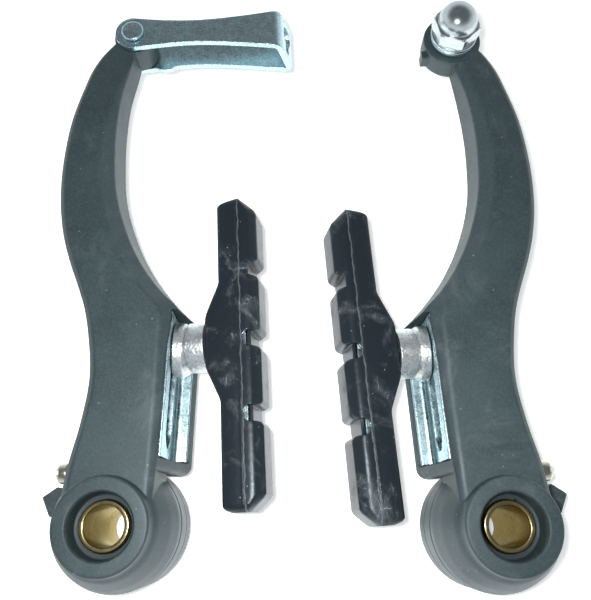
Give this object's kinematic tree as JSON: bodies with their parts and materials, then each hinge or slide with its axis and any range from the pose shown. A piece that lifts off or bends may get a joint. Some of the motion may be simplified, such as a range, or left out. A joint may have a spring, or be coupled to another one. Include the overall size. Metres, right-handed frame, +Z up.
{
  "type": "rim brake caliper",
  "caption": "Linear-pull rim brake: a pair of moulded arms with rubber pads, return springs, a noodle link and a cable anchor.",
  "frame": {"origin": "midway between the two pivot axes, in the plane of the frame studs' shoulders, on which the bushes rest", "axes": "+X to the right, from the link side to the cable-anchor side, +Y to the rear along the pivot axes, towards the frame, +Z up along the arms"},
  "size_m": [0.1146, 0.0423, 0.1352],
  "materials": {
    "black_nylon": "satin, fine moulded grain",
    "black_rubber": "smooth moulded, dusty",
    "zinc_plate": "bright bluish zinc plating",
    "rough_zinc": "zinc plating over a rough blasted surface",
    "bright_nut": "polished nickel plating",
    "nickel_screw": "nickel plating, slightly yellow",
    "spring_steel": "oiled spring steel",
    "brass_bush": "smooth turned brass"
  },
  "bodies": {
    "frame_side": {"left_pivot_bush": "brass_bush", "left_spring_cover": "black_nylon", "left_locating_pin": "spring_steel", "right_pivot_bush": "brass_bush", "right_spring_cover": "black_nylon", "right_locating_pin": "spring_steel"},
    "left_arm": {"left_arm": "black_nylon", "left_arm_plate": "zinc_plate", "left_spring_adjuster": "black_nylon", "left_return_spring": "spring_steel", "link_rivet": "zinc_plate"},
    "left_tension_screw": {"left_tension_screw": "nickel_screw"},
    "left_pad_clamp": {"left_inner_washer": "rough_zinc", "left_outer_washer": "rough_zinc"},
    "left_pad_tilt": {"left_pad_spacer": "rough_zinc", "left_cup_washer": "rough_zinc", "left_pad_nut": "zinc_plate"},
    "left_pad": {"left_pad": "black_rubber", "left_pad_backing": "zinc_plate", "left_pad_stud": "zinc_plate"},
    "right_arm": {"right_arm": "black_nylon", "right_arm_plate": "zinc_plate", "right_spring_adjuster": "black_nylon", "right_return_spring": "spring_steel", "anchor_bolt": "zinc_plate", "cable_washer": "zinc_plate", "anchor_nut": "bright_nut"},
    "right_tension_screw": {"right_tension_screw": "nickel_screw"},
    "right_pad_clamp": {"right_inner_washer": "rough_zinc", "right_outer_washer": "rough_zinc"},
    "right_pad_tilt": {"right_pad_spacer": "rough_zinc", "right_cup_washer": "rough_zinc", "right_pad_nut": "zinc_plate"},
    "right_pad": {"right_pad": "black_rubber", "right_pad_backing": "zinc_plate", "right_pad_stud": "zinc_plate"},
    "noodle_link": {"noodle_link": "zinc_plate"}
  },
  "joints": [
    {"name": "left_arm_pivot", "type": "hinge", "parent": "frame_side", "child": "left_arm", "pos_m": [-0.04, 0, 0], "axis": [0, 1, 0], "range_deg": [-30, 4], "stiffness_Nm_per_rad": 0.5},
    {"name": "left_tension_turn", "type": "hinge", "parent": "left_arm", "child": "left_tension_screw", "pos_m": [-0.05175, -0.0166, 0.01088], "axis": [0.9997, 0, -0.0236], "continuous": true},
    {"name": "left_pad_height", "type": "slide", "parent": "left_arm", "child": "left_pad_clamp", "axis": [0.0236, 0, 0.9997], "range_m": [-0.018, 0.001]},
    {"name": "left_pad_toe", "type": "hinge", "parent": "left_pad_clamp", "child": "left_pad_tilt", "pos_m": [-0.03021, -0.0183, 0.03778], "axis": [-0.0515, 0, 0.9987], "range_deg": [-1, 16]},
    {"name": "left_pad_swivel", "type": "hinge", "parent": "left_pad_tilt", "child": "left_pad", "pos_m": [-0.03021, -0.0183, 0.03778], "axis": [0.9835, -0.1736, 0.0507], "range_deg": [-100, 100]},
    {"name": "right_arm_pivot", "type": "hinge", "parent": "frame_side", "child": "right_arm", "pos_m": [0.04, 0, 0], "axis": [0, -1, 0], "range_deg": [-30, 4], "stiffness_Nm_per_rad": 0.5},
    {"name": "right_tension_turn", "type": "hinge", "parent": "right_arm", "child": "right_tension_screw", "pos_m": [0.0512, -0.0166, 0.01144], "axis": [-0.9974, 0, -0.0724], "continuous": true},
    {"name": "right_pad_height", "type": "slide", "parent": "right_arm", "child": "right_pad_clamp", "axis": [-0.0724, 0, 0.9974], "range_m": [-0.018, 0.001]},
    {"name": "right_pad_toe", "type": "hinge", "parent": "right_pad_clamp", "child": "right_pad_tilt", "pos_m": [0.02837, -0.0183, 0.03726], "axis": [0.0828, 0, -0.9966], "range_deg": [-1, 16]},
    {"name": "right_pad_swivel", "type": "hinge", "parent": "right_pad_tilt", "child": "right_pad", "pos_m": [0.02837, -0.0183, 0.03726], "axis": [-0.9814, -0.1736, -0.0816], "range_deg": [-100, 100]},
    {"name": "link_swing", "type": "hinge", "parent": "left_arm", "child": "noodle_link", "pos_m": [-0.0419, 0, 0.11478], "axis": [0, -1, 0], "range_deg": [-45, 100]}
  ]
}
